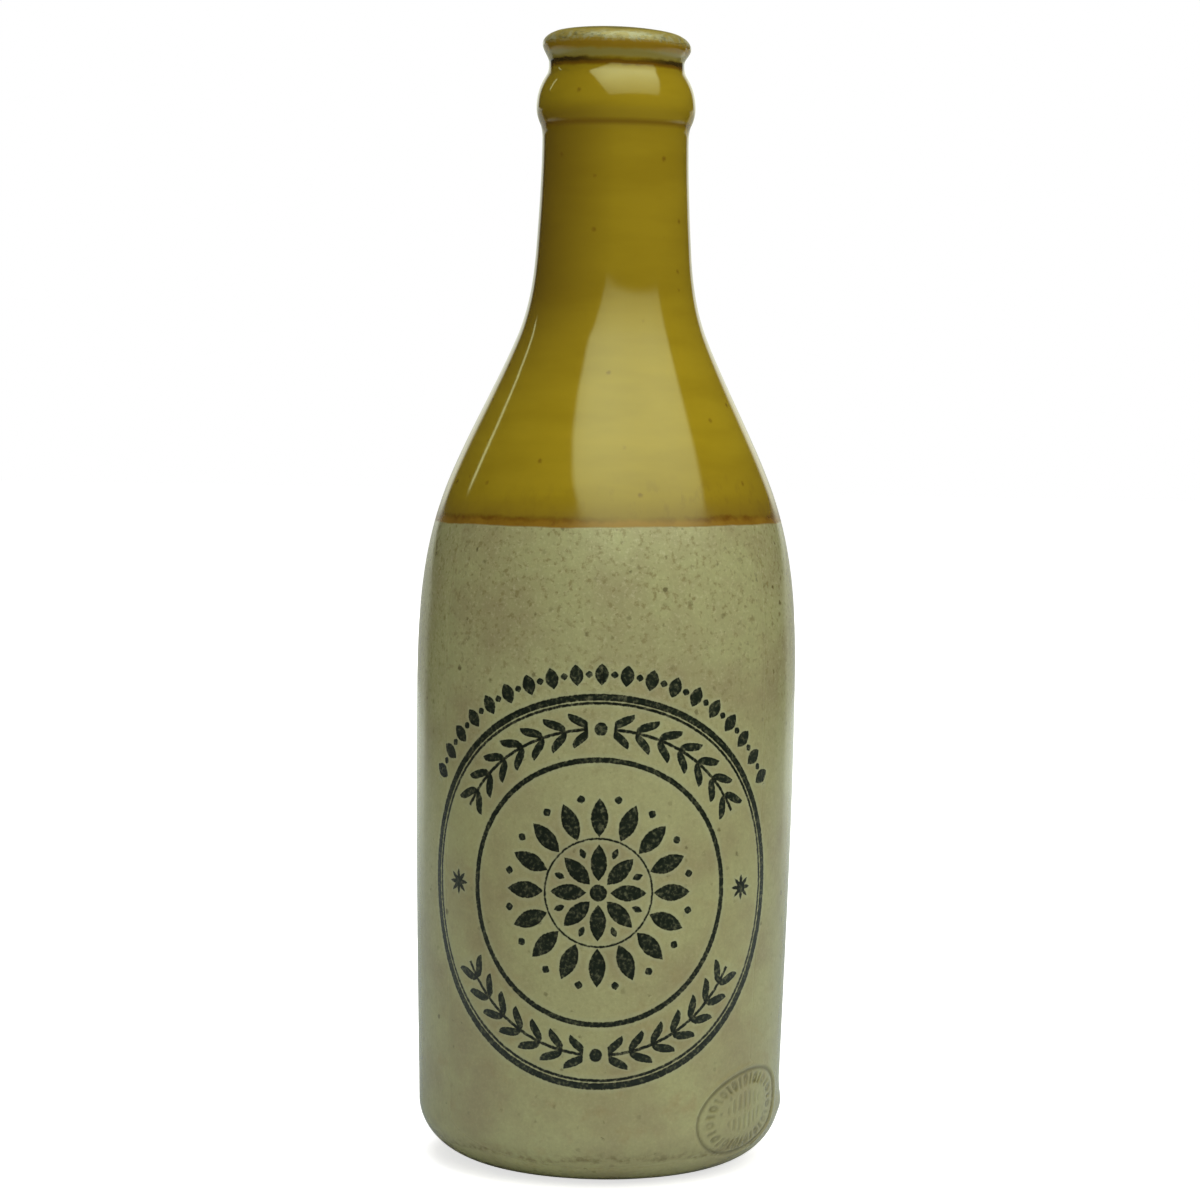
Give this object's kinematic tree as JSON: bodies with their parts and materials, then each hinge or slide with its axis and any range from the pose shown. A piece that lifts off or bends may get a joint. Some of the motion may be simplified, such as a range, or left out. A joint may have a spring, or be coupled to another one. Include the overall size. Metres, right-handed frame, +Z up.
{
  "type": "stoneware ginger beer bottle",
  "caption": "Hollow stoneware ginger beer bottle with a rounded heel, sloping shoulder, swelling collar and rounded crown cap lip.",
  "frame": {"origin": "centre of the flat base, on the surface that the bottle stands on", "axes": "+Z up along the bottle's axis to the mouth; -Y towards the printed ring; +X to the right of the print"},
  "size_m": [0.069, 0.069, 0.2049],
  "materials": {
    "stoneware": "glossy ochre glaze on the neck and shoulder, clear glaze over buff stoneware on the body, dark ring print"
  },
  "bodies": {
    "root": {"bottle": "stoneware"}
  },
  "joints": []
}
